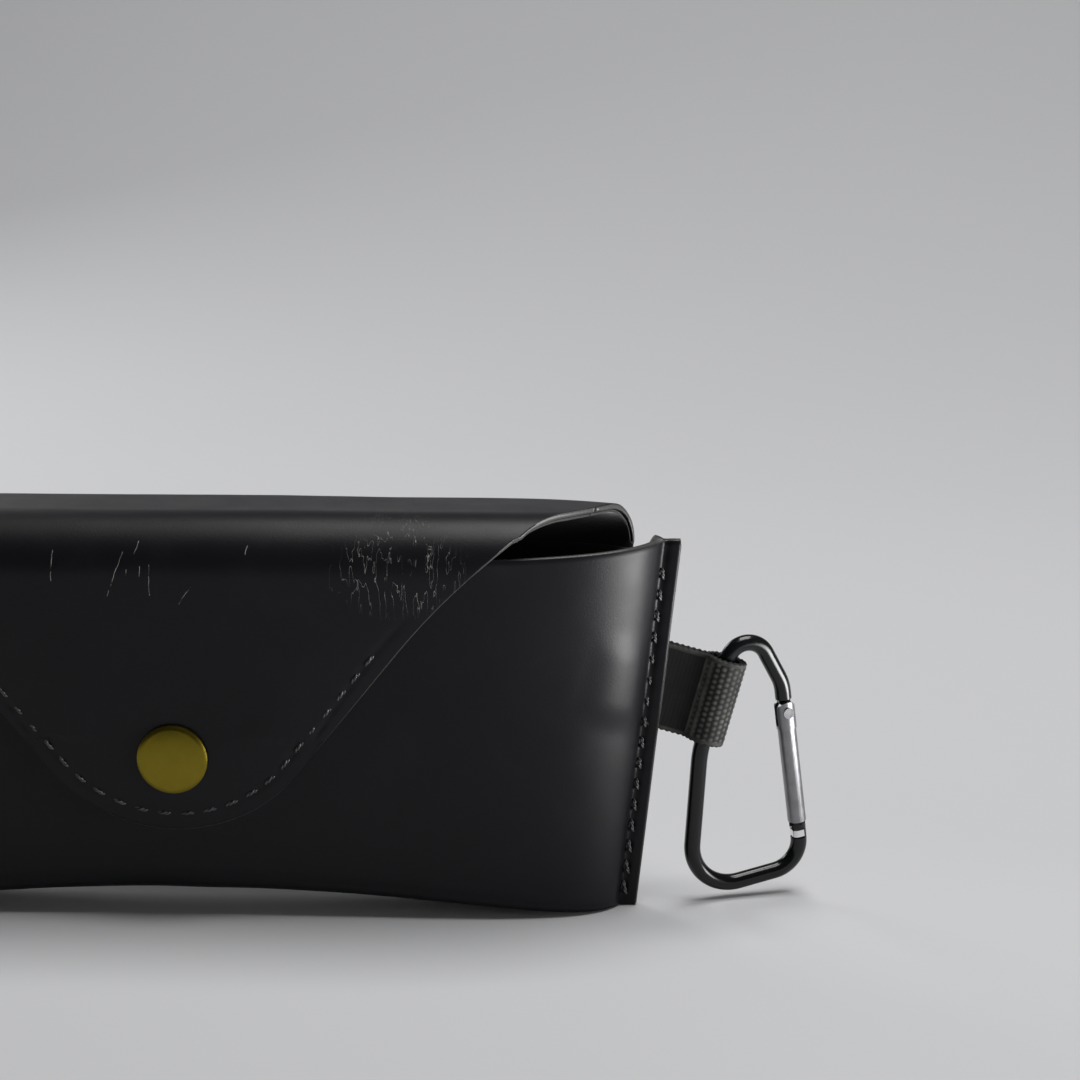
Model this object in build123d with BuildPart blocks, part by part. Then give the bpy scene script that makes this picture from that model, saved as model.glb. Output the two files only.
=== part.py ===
from build123d import *

import os
from math import cos, radians, sin, tan

os.makedirs("parts", exist_ok=True)

# A soft eyeglasses case: a leather pouch with stitched side seams, a pointed flap that folds
# over the mouth and snaps shut, and a webbing tab that carries a small carabiner.
# Millimetres, +X along the case to the tab, +Y to the back panel, +Z up, floor at Z = 0.
# The pouch is described from its own centre: x from the middle, y from the seam plane.

# Where the pouch's centre stands, so that the whole outline is centred on the origin
POUCH_X = -11.34
SEAM_Y = 1.76

# Pouch body
STITCH_HALF = 78.7  # from the middle to the stitch line, at the floor
SIDE_LEAN = 6.3  # degrees the side seams lean outwards
SEAM_HEIGHT = 68.5  # top of the side seams
LEATHER = 1.2
LINING = 0.5
FLANGE = 0.053  # stitched edge outside the stitch line, as a share of STITCH_HALF
FRONT_DEPTH = 11.0  # front panel's outer face in front of the seam plane, at the floor
BACK_DEPTH = 11.0
BACK_DEPTH_TOP = 14.5
PANEL_LEAN = 3.0  # degrees the front panel leans forward
PLAN_POWER = 8
PLAN_ROUND = 0.65
INNER_END = 0.985  # where the hollow closes, as a share of STITCH_HALF
ARCH_HEIGHT = 4.5  # bottom edge above the floor, at the middle
ARCH_END = 0.95
ARCH_POWER = 1.25
CREASE = 5.5  # outer radius of the bottom creases, at the middle
CREASE_END = 1.6
RIM = 65.5  # mouth's front rim, at the middle
RIM_RISE = 2.8
SLIT = 0.05

# Flap
HINGE_Z = 65.8  # back fold line
SPLIT = 0.3  # gap at each fold line
FLAP_GAP = 1.95  # air between the front panel and the flap's lining
APEX = 74.5
BACK_ROUND = 8.5
FRONT_ROUND = 10.0
FOLD_ANGLE = 45.0  # where the front fold line lies, from the vertical
FLAP_LOW = 15.0
TIP_CENTRE = 46.1
TIP_RADIUS = 28.3
EDGE_SLOPE = 51.5  # degrees of the flap's straight edges from the horizontal
EDGE_END = (39.2, 50.0)
FOLD_HALF = 61.0  # half width of the flap at the front fold line
BRIDGE_MID = (76.0, 1.5)
BRIDGE_END = (85.5, 16.0)

# Stitching
THREAD = 0.32  # radius of a stitch
STITCH = 2.6
SEAM_PITCH = 3.9
SEAM_FIRST = 3.5
SEAM_OUT = 0.7
EDGE_PITCH = 4.1
EDGE_INSET = 2.9

# Snap fastener
SNAP_Z = 31.4
SNAP_CAP = 6.25
SNAP_CAP_THICK = 1.6
CAP_DOME = 0.45  # fall of the cap's dome from its middle to its rolled edge
CAP_ROLL = 0.8
CAP_BEVEL = 0.4
CAP_WALL = 0.5
SOCKET_R = 4.6
SOCKET_HOLE = 2.7
SOCKET_LOW = 0.4
SOCKET_BASE = 1.45
SOCKET_BEVEL = 0.4
SOCKET_LIP = 0.2
SOCKET_GROOVE = 0.6
STUD_FLANGE = 4.2
STUD_FLANGE_THICK = 0.3
STUD_R = 1.9
STUD_TOP = 1.2
STUD_WALL = 0.25
STUD_ROUND = 0.4
POST_R = 4.75
POST_THICK = 0.5
POST_SHANK = 1.3
POST_BEVEL = 0.3
POST_PLAY = 0.1
CAP_SHANK = 1.8
HOLE_PLAY = 0.05
SPRING_RING = 2.95
SPRING_WIRE = 0.2

# Webbing tab
TAB_Z = 41.8  # middle of the tab at the seam's edge
DROOP = 15.5  # degrees below level
WEBBING = 15.5
WEBBING_LOW = -8.4  # its lower edge, along the loop from the tab's centre line
TAB_THICK = 2.4
TAB_SWELL = 40.0  # degrees round the loop's axis where the webbing spreads to go round it
TAB_HINGE = 3.0  # bending line, outwards from the seam's edge
LOOP_AT = 9.0  # loop's axis, outwards from the seam's edge
LOOP_IN = 2.1
LOOP_OUT = 3.75
ANCHOR_THICK = 1.4
ANCHOR_INSIDE = 13.0  # hidden end, inwards from the seam's edge
ANCHOR_PLAY = 0.05

# Carabiner, drawn as (across, up) from the middle of the loop
TURN = 20.0  # degrees the carabiner is turned back about the loop
ROD = 1.5
NOSE = (23.2, -20.8)
LOW_RIGHT = (26.5, -28.5)
LOW_LEFT = (6.1, -38.1)
SPINE_LOW = (0.0, -10.8)
SPINE_TOP = (0.0, 10.8)
TOP_RIGHT = (5.6, 11.0)
SHOULDER = (11.8, 4.7)
TANG_ROOT = (13.0, 2.0)
ROD_RADII = [5.5, 8.0, 20.0, 3.9, 4.1, 8.0]
TANG_HALF = 0.55
TANG_WIDE = 1.1
TANG_ROOTED = 0.6
RIVET_AT = 2.4
RIVET_R = 0.6
RIVET_HEAD = 1.0
RIVET_HEAD_THICK = 0.25
PIVOT_PLAY = 0.05

# Gate, measured along its axis from the rod's end
GATE_R = 1.7
COLLAR_R = 1.85
COLLAR_ROUND = 1.95
COLLAR_END = 5.8
GATE_END = 24.5
FORK_HALF = 0.62
FORK_END = 5.2
BORE_R = 1.1
BORE_END = 22.5
LATCH_NECK = 0.5
LATCH_NECK_WIDE = 0.7
LATCH_HEAD = (26.2, 27.5)
LATCH_HEAD_HALF = 1.35
LATCH_OUT = 0.7
LATCH_IN = 1.3
SLOT = (25.9, 27.8)
SLOT_OUT = 0.85
NECK_SLOT_HALF = 0.65
PLUNGER_R = 0.9
PLUNGER_TIP = 0.5
PLUNGER_START = 3.6
PLUNGER_SHOULDER = 5.4
PLUNGER_END = 7.6
COIL_R = 0.75
COIL_WIRE = 0.14
COIL_PITCH = 1.7
COIL_START = 7.8
COIL_LENGTH = 13.6


# ---- Shape of the pouch, station by station -------------------------------------------------
# A station is a share of the way from the middle (0) to the stitch line (1 or -1).


def station(s):
    """Upright plane across the pouch at a station, leaning with the side seams."""
    lean = radians(SIDE_LEAN * s)
    foot = (POUCH_X + STITCH_HALF * s, SEAM_Y, 0)
    return Plane(origin=foot, x_dir=(0, 1, 0), z_dir=(cos(lean), 0, -sin(lean)))


def fullness(s):
    """Share of the full depth that the pouch has at a station."""
    return (1 - min(abs(s), 1) ** PLAN_POWER) ** PLAN_ROUND


def front(s, z):
    """Outer face of the front panel, in front of the seam plane."""
    return LEATHER + (FRONT_DEPTH + z * tan(radians(PANEL_LEAN)) - LEATHER) * fullness(s)


def back(s, z):
    """Outer face of the back panel, behind the seam plane."""
    depth = BACK_DEPTH + (BACK_DEPTH_TOP - BACK_DEPTH) * z / HINGE_Z
    return LEATHER + (depth - LEATHER) * fullness(s)


def bottom(s):
    """Height of the pouch's underside above the floor."""
    return ARCH_HEIGHT * max(0, 1 - (s / ARCH_END) ** 2) ** ARCH_POWER


def crease(s):
    """Outer radius of the bottom creases."""
    return CREASE_END + (CREASE - CREASE_END) * (1 - min(abs(s), 1) ** 2)


def wall(s, inset):
    """Open outline from the front rim round the bottom to the back rim, set in from the outer face."""
    low = bottom(s) + inset
    high = RIM + RIM_RISE * s * s
    if inset:
        inner = s / INNER_END
        front_low, front_high = (max(front(inner, z) - inset, SLIT) for z in (low, high))
        back_low, back_high = (max(back(inner, z) - inset, SLIT) for z in (low, HINGE_Z))
    else:
        front_low, front_high = front(s, low), front(s, high)
        back_low, back_high = back(s, low), back(s, HINGE_Z)
    back_rim = HINGE_Z - SPLIT if abs(s) <= INNER_END else SEAM_HEIGHT
    radius = min(max(crease(s) - inset, 0.5), 0.5 * front_low, 0.5 * back_low)
    points = [(-front_high, high), (-front_low, low), (back_low, low), (back_high, back_rim)]
    return points, [0, radius, radius, 0]


def wall_section(s, outside, inside):
    """Closed outline of a layer of the pouch's wall between two depths."""
    outer_points, outer_radii = wall(s, outside)
    inner_points, inner_radii = wall(s, inside)
    return outer_points + inner_points[::-1], outer_radii + inner_radii[::-1]


def flap_line(s, inset):
    """Open outline from the back fold line over the mouth and down the front, set in."""
    rear = back(s, HINGE_Z) - inset
    cover = FLAP_GAP + LINING + LEATHER - inset
    top = APEX - inset
    ahead_top = front(s, top) + cover
    ahead_low = front(s, FLAP_LOW) + cover
    width = rear + ahead_top
    rear_round = min(BACK_ROUND - inset, 0.38 * width)
    ahead_round = min(FRONT_ROUND - inset, 0.5 * width)
    points = [(rear, HINGE_Z), (rear, top), (-ahead_top, top), (-ahead_low, FLAP_LOW)]
    return points, [0, rear_round, ahead_round, 0]


def flap_section(s, outside, inside):
    """Closed outline of a layer of the flap between two depths."""
    outer_points, outer_radii = flap_line(s, outside)
    inner_points, inner_radii = flap_line(s, inside)
    return outer_points + inner_points[::-1], outer_radii + inner_radii[::-1]


def both_ways(stations):
    """Stations on both sides of the middle, in order."""
    return [-s for s in reversed(stations)] + [0] + list(stations)


COMMON_STATIONS = (0.15, 0.3, 0.45, 0.6, 0.72, 0.82, 0.89, 0.935)
WALL_STATIONS = both_ways(COMMON_STATIONS + (0.965, INNER_END))
LINING_STATIONS = both_ways(COMMON_STATIONS)
FLAP_STATIONS = both_ways(COMMON_STATIONS + (0.965,))

# Planes that the pieces are drawn on
FRONT_VIEW = Plane(origin=(POUCH_X, SEAM_Y, 0), x_dir=(1, 0, 0), z_dir=(0, -1, 0))
TOP_VIEW = Plane(origin=(POUCH_X, SEAM_Y, HINGE_Z))
FACING = (0, -cos(radians(PANEL_LEAN)), -sin(radians(PANEL_LEAN)))
SNAP = Plane(origin=(POUCH_X, SEAM_Y - front(0, SNAP_Z), SNAP_Z), x_dir=(1, 0, 0), z_dir=FACING)

FLAP_OUT = FLAP_GAP + LINING + LEATHER
FOLD_CENTRE_Z = APEX - FRONT_ROUND
FOLD_Y = FRONT_ROUND * (1 - sin(radians(FOLD_ANGLE))) - front(0, FOLD_CENTRE_Z) - FLAP_OUT
FOLD_Z = FOLD_CENTRE_Z + FRONT_ROUND * cos(radians(FOLD_ANGLE))
ALONG_FLAP = (0, -cos(radians(FOLD_ANGLE)), -sin(radians(FOLD_ANGLE)))
FRONT_FOLD = Plane(origin=(POUCH_X, SEAM_Y + FOLD_Y, FOLD_Z), x_dir=(1, 0, 0), z_dir=ALONG_FLAP)


# ---- Pouch ----------------------------------------------------------------------------------

# Tab directions: outwards and down from the seam, and up along the webbing's width
OUTWARDS = Vector(cos(radians(DROOP)), 0, -sin(radians(DROOP)))
UPWARDS = Vector(sin(radians(DROOP)), 0, cos(radians(DROOP)))
SEAM_EDGE_X = (STITCH_HALF + TAB_Z * tan(radians(SIDE_LEAN))) + STITCH_HALF * FLANGE
TAB_ROOT = Vector(POUCH_X + SEAM_EDGE_X, SEAM_Y, TAB_Z)
TAB = Plane(origin=TAB_ROOT + UPWARDS * WEBBING_LOW, x_dir=OUTWARDS, z_dir=UPWARDS)
ANCHOR_OUT = TAB_HINGE - TAB_THICK / 2 - SPLIT


def seam_end(side):
    """Where the two panels meet: a solid wedge up to the stitch line, then the stitched edge."""
    with BuildPart() as end:
        for share in (INNER_END, 1, 1 + FLANGE):
            points, radii = wall(side * share, 0)
            with BuildSketch(station(side * share)):
                with BuildLine():
                    FilletPolyline(*points, radius=radii, close=True)
                make_face()
        loft(ruled=True)
    return end.part


with BuildPart() as pouch_shell:
    for s in WALL_STATIONS:
        points, radii = wall_section(s, 0, LEATHER)
        with BuildSketch(station(s)):
            with BuildLine():
                FilletPolyline(*points, radius=radii, close=True)
            make_face()
    loft(ruled=True)
    add(seam_end(-1))
    add(seam_end(1))
    with BuildSketch(SNAP.offset(LEATHER)):
        Circle(POST_SHANK + HOLE_PLAY)
    extrude(amount=-3 * LEATHER, mode=Mode.SUBTRACT)
    with BuildSketch(TAB.offset(-ANCHOR_PLAY)):
        with Locations(((ANCHOR_OUT - ANCHOR_INSIDE) / 2, 0)):
            Rectangle(ANCHOR_INSIDE + ANCHOR_OUT, ANCHOR_THICK + 2 * ANCHOR_PLAY)
    extrude(amount=WEBBING + 2 * ANCHOR_PLAY, mode=Mode.SUBTRACT)
pouch_shell.part.label = "pouch_shell"
export_step(pouch_shell.part, "parts/pouch_shell.step")

with BuildPart() as pouch_lining:
    for s in LINING_STATIONS:
        points, radii = wall_section(s, LEATHER + SLIT, LEATHER + LINING)
        with BuildSketch(station(s)):
            with BuildLine():
                FilletPolyline(*points, radius=radii, close=True)
            make_face()
    loft(ruled=True)
    with BuildSketch(SNAP.offset(LEATHER)):
        Circle(POST_SHANK + HOLE_PLAY)
    extrude(amount=-3 * LEATHER, mode=Mode.SUBTRACT)
pouch_lining.part.label = "pouch_lining"
export_step(pouch_lining.part, "parts/pouch_lining.step")


# ---- Flap -----------------------------------------------------------------------------------


def flap_sheet(outside, inside):
    """One layer of the whole flap, from the back fold line to below its tip, before it is cut."""
    with BuildPart() as sheet:
        for s in FLAP_STATIONS:
            points, radii = flap_section(s, outside, inside)
            with BuildSketch(station(s)):
                with BuildLine():
                    FilletPolyline(*points, radius=radii, close=True)
                make_face()
        loft(ruled=True)
    return sheet.part


def flap_outline():
    """Front view of the flap: round tip, straight edges that flare towards the fold."""
    with BuildSketch(FRONT_VIEW) as outline:
        with BuildLine():
            tip = CenterArc((0, TIP_CENTRE), TIP_RADIUS, -90, EDGE_SLOPE)
            edge = Line(tip @ 1, EDGE_END)
            flare = TangentArc(edge @ 1, (FOLD_HALF, FOLD_Z), tangent=edge % 1)
            Polyline(flare @ 1, (FOLD_HALF, APEX), (0, APEX), tip @ 0)
        make_face()
        mirror(about=Plane.YZ)
    return outline.sketch


def bridge_outline():
    """Top view of the flap over the mouth, widening from the front fold line to the back one."""
    with BuildSketch(TOP_VIEW) as outline:
        with BuildLine():
            edge = ThreePointArc((FOLD_HALF, FOLD_Y), BRIDGE_MID, BRIDGE_END)
            ahead = FOLD_Y - LEATHER
            Polyline(edge @ 1, (0, BRIDGE_END[1]), (0, ahead), (FOLD_HALF, ahead), edge @ 0)
        make_face()
        mirror(about=Plane.YZ)
    return outline.sketch


FLAP_LAYERS = {"": (0, LEATHER), "_lining": (LEATHER + SLIT, LEATHER + LINING)}

for ending, (outside, inside) in FLAP_LAYERS.items():
    whole = flap_sheet(outside, inside)
    with BuildPart() as flap_bridge:
        add(whole)
        split(bisect_by=FRONT_FOLD, keep=Keep.BOTTOM)
        extrude(bridge_outline(), amount=2 * (APEX - HINGE_Z), both=True, mode=Mode.INTERSECT)
    flap_bridge.part.label = "flap_bridge" + ending
    export_step(flap_bridge.part, f"parts/flap_bridge{ending}.step")

    with BuildPart() as flap_front:
        add(whole)
        split(bisect_by=FRONT_FOLD.offset(SPLIT), keep=Keep.TOP)
        extrude(flap_outline(), amount=2 * BACK_DEPTH_TOP, both=True, mode=Mode.INTERSECT)
        with BuildSketch(SNAP):
            Circle(CAP_SHANK + HOLE_PLAY)
        extrude(amount=2 * FLAP_OUT, mode=Mode.SUBTRACT)
    flap_front.part.label = "flap_front" + ending
    export_step(flap_front.part, f"parts/flap_front{ending}.step")


# ---- Stitching ------------------------------------------------------------------------------

for side, name in ((-1, "seam_thread_left"), (1, "seam_thread_right")):
    with BuildPart() as seam_thread:
        count = int((SEAM_HEIGHT - 2 * SEAM_FIRST) / SEAM_PITCH) + 1
        for face in (-1, 1):
            for i in range(count):
                z = SEAM_FIRST + i * SEAM_PITCH
                x = STITCH_HALF + SEAM_OUT + z * tan(radians(SIDE_LEAN))
                spot = (POUCH_X + side * x, SEAM_Y + face * (LEATHER + THREAD), z)
                with BuildSketch(Plane(origin=spot, z_dir=(side * sin(radians(SIDE_LEAN)), 0, 1))):
                    Circle(THREAD)
                extrude(amount=STITCH / 2, both=True)
    seam_thread.part.label = name
    export_step(seam_thread.part, f"parts/{name}.step")

with BuildLine() as edge_stitches:
    tip_stitches = CenterArc((0, TIP_CENTRE), TIP_RADIUS - EDGE_INSET, -90, EDGE_SLOPE)
    inwards = Vector(-sin(radians(EDGE_SLOPE)), cos(radians(EDGE_SLOPE))) * EDGE_INSET
    Line(tip_stitches @ 1, Vector(*EDGE_END) + inwards)

with BuildPart() as flap_thread:
    edge_wire = edge_stitches.wire()
    count = int(edge_wire.length / EDGE_PITCH)
    for side in (-1, 1):
        for i in range(count):
            share = (i + 0.5) * EDGE_PITCH / edge_wire.length
            point = edge_wire @ share
            heading = edge_wire % share
            ahead = front(point.X / STITCH_HALF, point.Y) + FLAP_OUT + THREAD + SLIT
            spot = (POUCH_X + side * point.X, SEAM_Y - ahead, point.Y)
            with BuildSketch(Plane(origin=spot, z_dir=(side * heading.X, 0, heading.Y))):
                Circle(THREAD)
            extrude(amount=STITCH / 2, both=True)
flap_thread.part.label = "flap_thread"
export_step(flap_thread.part, "parts/flap_thread.step")


# ---- Snap fastener --------------------------------------------------------------------------
# Heights are measured outwards from the front panel's outer face, along the snap's axis.

SNAP_SIDE = Plane(origin=SNAP.origin, x_dir=(1, 0, 0), z_dir=SNAP.z_dir.cross(Vector(1, 0, 0)) * -1)
SNAP_AXIS = Axis(SNAP.origin, SNAP.z_dir)

with BuildPart() as snap_cap:
    with BuildSketch(SNAP_SIDE):
        with BuildLine():
            crown = FLAP_OUT + SNAP_CAP_THICK
            shoulder = FLAP_OUT + SNAP_CAP_THICK / 2
            dome = ThreePointArc(
                (0, crown), (SNAP_CAP / 2, crown - CAP_DOME / 4), (SNAP_CAP - CAP_ROLL, crown - CAP_DOME)
            )
            rim = TangentArc(dome @ 1, (SNAP_CAP, shoulder), tangent=dome % 1)
            Polyline(
                rim @ 1,
                (SNAP_CAP, FLAP_OUT + CAP_BEVEL / 2),
                (SNAP_CAP - CAP_BEVEL, FLAP_OUT),
                (CAP_SHANK, FLAP_OUT),
                (CAP_SHANK, SOCKET_BASE),
                (CAP_SHANK - CAP_WALL, SOCKET_BASE),
                (CAP_SHANK - CAP_WALL, FLAP_OUT + CAP_WALL),
                (0, FLAP_OUT + CAP_WALL),
                dome @ 0,
            )
        make_face()
    revolve(axis=SNAP_AXIS)
snap_cap.part.label = "snap_cap"
export_step(snap_cap.part, "parts/snap_cap.step")

with BuildPart() as snap_socket:
    with BuildSketch(SNAP_SIDE):
        with BuildLine():
            groove = SPRING_RING + SPRING_WIRE + HOLE_PLAY
            groove_low = SOCKET_LOW + SOCKET_LIP
            groove_high = groove_low + SOCKET_GROOVE
            seat = FLAP_GAP - SLIT
            Polyline(
                (CAP_SHANK + HOLE_PLAY, seat),
                (SOCKET_R - SOCKET_BEVEL, seat),
                (SOCKET_R, seat - SOCKET_BEVEL),
                (SOCKET_R, SOCKET_LOW + SOCKET_BEVEL),
                (SOCKET_R - SOCKET_BEVEL, SOCKET_LOW),
                (SOCKET_HOLE, SOCKET_LOW),
                (SOCKET_HOLE, groove_low),
                (groove, groove_low),
                (groove, groove_high),
                (SOCKET_HOLE, groove_high),
                (SOCKET_HOLE, SOCKET_BASE),
                (CAP_SHANK + HOLE_PLAY, SOCKET_BASE),
                close=True,
            )
        make_face()
    revolve(axis=SNAP_AXIS)
snap_socket.part.label = "snap_socket"
export_step(snap_socket.part, "parts/snap_socket.step")

with BuildPart() as snap_spring:
    with BuildSketch(SNAP_SIDE):
        with Locations((SPRING_RING, SOCKET_LOW + SOCKET_LIP + SOCKET_GROOVE / 2)):
            Circle(SPRING_WIRE)
    revolve(axis=SNAP_AXIS, revolution_arc=320)
snap_spring.part.label = "snap_spring"
export_step(snap_spring.part, "parts/snap_spring.step")

with BuildPart() as snap_stud:
    with BuildSketch(SNAP_SIDE):
        with BuildLine():
            bore = POST_SHANK + HOLE_PLAY
            nose = RadiusArc((STUD_R, STUD_TOP - STUD_ROUND), (STUD_R - STUD_ROUND, STUD_TOP), -STUD_ROUND)
            Polyline(
                nose @ 1,
                (0, STUD_TOP),
                (0, STUD_TOP - STUD_WALL),
                (bore, STUD_TOP - STUD_WALL),
                (bore, 0),
                (STUD_FLANGE, 0),
                (STUD_FLANGE, STUD_FLANGE_THICK),
                (STUD_R, STUD_FLANGE_THICK),
                nose @ 0,
            )
        make_face()
    revolve(axis=SNAP_AXIS)
snap_stud.part.label = "snap_stud"
export_step(snap_stud.part, "parts/snap_stud.step")

with BuildPart() as snap_post:
    with BuildSketch(SNAP_SIDE):
        with BuildLine():
            seat = -(LEATHER + LINING + HOLE_PLAY)
            Polyline(
                (0, seat - POST_THICK),
                (POST_R - POST_BEVEL, seat - POST_THICK),
                (POST_R, seat - POST_THICK + POST_BEVEL),
                (POST_R, seat),
                (POST_SHANK, seat),
                (POST_SHANK, STUD_TOP - STUD_WALL - POST_PLAY),
                (0, STUD_TOP - STUD_WALL - POST_PLAY),
                close=True,
            )
        make_face()
    revolve(axis=SNAP_AXIS)
snap_post.part.label = "snap_post"
export_step(snap_post.part, "parts/snap_post.step")


# ---- Webbing tab ----------------------------------------------------------------------------

with BuildPart() as tab_anchor:
    with BuildSketch(TAB):
        with Locations(((ANCHOR_OUT - ANCHOR_INSIDE) / 2, 0)):
            Rectangle(ANCHOR_INSIDE + ANCHOR_OUT, ANCHOR_THICK)
    extrude(amount=WEBBING)
tab_anchor.part.label = "tab_anchor"
export_step(tab_anchor.part, "parts/tab_anchor.step")

with BuildPart() as tab_loop:
    with BuildSketch(TAB):
        with BuildLine():
            swell = radians(TAB_SWELL)
            spread = (LOOP_AT - LOOP_OUT * cos(swell), LOOP_OUT * sin(swell))
            spread_front = (spread[0], -spread[1])
            half = TAB_THICK / 2
            inner_end = ThreePointArc((TAB_HINGE, half), (TAB_HINGE - half, 0), (TAB_HINGE, -half))
            Line(inner_end @ 1, spread_front)
            ThreePointArc(spread_front, (LOOP_AT + LOOP_OUT, 0), spread)
            Line(spread, inner_end @ 0)
        make_face()
        with Locations((LOOP_AT, 0)):
            Circle(LOOP_IN, mode=Mode.SUBTRACT)
    extrude(amount=WEBBING)
tab_loop.part.label = "tab_loop"
export_step(tab_loop.part, "parts/tab_loop.step")


# ---- Carabiner ------------------------------------------------------------------------------

ACROSS = OUTWARDS * cos(radians(TURN)) + Vector(0, 1, 0) * sin(radians(TURN))
LOOP_CENTRE = TAB_ROOT + OUTWARDS * LOOP_AT
CARABINER = Plane(origin=LOOP_CENTRE, x_dir=ACROSS, z_dir=ACROSS.cross(UPWARDS))

# The gate's own plane stands at the rod's end: x through the carabiner's thickness,
# y inwards, z along the gate to the nose.
GATE_START = CARABINER.from_local_coords(Vector(*TANG_ROOT))
GATE_ALONG = (CARABINER.from_local_coords(Vector(*NOSE)) - GATE_START).normalized()
GATE = Plane(origin=GATE_START, x_dir=CARABINER.z_dir, z_dir=GATE_ALONG)
GATE_FACE = Plane(origin=GATE.origin, x_dir=GATE.y_dir, z_dir=GATE.x_dir)  # x inwards, y along the gate


def along_gate(start, end, half_thick, out, inwards):
    """A block in the gate's plane, between two places along it."""
    with BuildPart() as block:
        with BuildSketch(GATE.offset(start)):
            with Locations((0, (inwards - out) / 2)):
                Rectangle(2 * half_thick, inwards + out)
        extrude(amount=end - start)
    return block.part


with BuildPart() as carabiner_body:
    with BuildLine():
        flat_corners = [NOSE, LOW_RIGHT, LOW_LEFT, SPINE_LOW, SPINE_TOP, TOP_RIGHT, SHOULDER, TANG_ROOT]
        corners = [CARABINER.from_local_coords(Vector(*corner)) for corner in flat_corners]
        rod_line = FilletPolyline(*corners, radius=ROD_RADII)
    with BuildSketch(Plane(origin=rod_line @ 0, z_dir=rod_line % 0)):
        Circle(ROD)
    sweep()
    with BuildSketch(GATE_FACE):
        with Locations((0, (RIVET_AT - TANG_ROOTED) / 2)):
            Rectangle(2 * TANG_WIDE, RIVET_AT + TANG_ROOTED)
        with Locations((0, RIVET_AT)):
            Circle(TANG_WIDE)
            Circle(RIVET_R, mode=Mode.SUBTRACT)
    extrude(amount=TANG_HALF, both=True)
    add(along_gate(SLOT[0], SLOT[1], 2 * ROD, SLOT_OUT, 2 * ROD), mode=Mode.SUBTRACT)
    add(along_gate(GATE_END, SLOT[1], NECK_SLOT_HALF, SLOT_OUT, 2 * ROD), mode=Mode.SUBTRACT)
carabiner_body.part.label = "carabiner_body"
export_step(carabiner_body.part, "parts/carabiner_body.step")

with BuildPart() as gate_rivet:
    with BuildSketch(GATE_FACE):
        with Locations((0, RIVET_AT)):
            Circle(RIVET_R)
    extrude(amount=COLLAR_R + HOLE_PLAY, both=True)
    for end in (-1, 1):
        with BuildSketch(GATE_FACE.offset(end * (COLLAR_R + HOLE_PLAY))):
            with Locations((0, RIVET_AT)):
                Circle(RIVET_HEAD)
        extrude(amount=end * RIVET_HEAD_THICK)
gate_rivet.part.label = "gate_rivet"
export_step(gate_rivet.part, "parts/gate_rivet.step")

with BuildPart() as gate_tube:
    with BuildSketch(GATE):
        Circle(GATE_R)
    extrude(amount=GATE_END)
    with BuildSketch(GATE):
        Circle(COLLAR_R)
    extrude(amount=COLLAR_END)
    with BuildSketch(GATE_FACE):
        with Locations((0, RIVET_AT)):
            Circle(COLLAR_ROUND)
        with Locations((0, RIVET_AT + GATE_END / 2)):
            Rectangle(2 * COLLAR_ROUND, GATE_END)
    extrude(amount=2 * COLLAR_R, both=True, mode=Mode.INTERSECT)
    with BuildSketch(GATE.offset(FORK_END)):
        Circle(BORE_R)
    extrude(amount=BORE_END - FORK_END, mode=Mode.SUBTRACT)
    add(along_gate(0, FORK_END, FORK_HALF, 2 * COLLAR_R, 2 * COLLAR_R), mode=Mode.SUBTRACT)
    add(along_gate(BORE_END, GATE_END, LATCH_NECK, LATCH_NECK_WIDE, LATCH_NECK_WIDE), mode=Mode.SUBTRACT)
    with BuildSketch(GATE_FACE):
        with Locations((0, RIVET_AT)):
            Circle(RIVET_R + PIVOT_PLAY)
    extrude(amount=2 * COLLAR_R, both=True, mode=Mode.SUBTRACT)
gate_tube.part.label = "gate_tube"
export_step(gate_tube.part, "parts/gate_tube.step")

with BuildPart() as gate_latch:
    add(along_gate(LATCH_HEAD[0], LATCH_HEAD[1], LATCH_HEAD_HALF, LATCH_OUT, LATCH_IN))
    with BuildSketch(GATE.offset(LATCH_HEAD[0])):
        Circle(ROD)
    extrude(amount=LATCH_HEAD[1] - LATCH_HEAD[0], mode=Mode.INTERSECT)
    add(along_gate(BORE_END, LATCH_HEAD[0], LATCH_NECK, LATCH_NECK_WIDE, LATCH_NECK_WIDE))
gate_latch.part.label = "gate_latch"
export_step(gate_latch.part, "parts/gate_latch.step")

with BuildPart() as gate_plunger:
    with BuildSketch(GATE.offset(PLUNGER_START)):
        Circle(PLUNGER_TIP)
    extrude(amount=PLUNGER_SHOULDER - PLUNGER_START)
    with BuildSketch(GATE.offset(PLUNGER_SHOULDER)):
        Circle(PLUNGER_R)
    extrude(amount=PLUNGER_END - PLUNGER_SHOULDER)
gate_plunger.part.label = "gate_plunger"
export_step(gate_plunger.part, "parts/gate_plunger.step")

with BuildPart() as gate_spring:
    with BuildLine():
        start = GATE.offset(COIL_START)
        coil = Helix(COIL_PITCH, COIL_LENGTH, COIL_R, center=start.origin, direction=start.z_dir)
    with BuildSketch(Plane(origin=coil @ 0, z_dir=coil % 0)):
        Circle(COIL_WIRE)
    sweep(is_frenet=True)
gate_spring.part.label = "gate_spring"
export_step(gate_spring.part, "parts/gate_spring.step")
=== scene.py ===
import math

import bmesh
import bpy
import numpy as np
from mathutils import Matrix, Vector, noise


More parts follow.
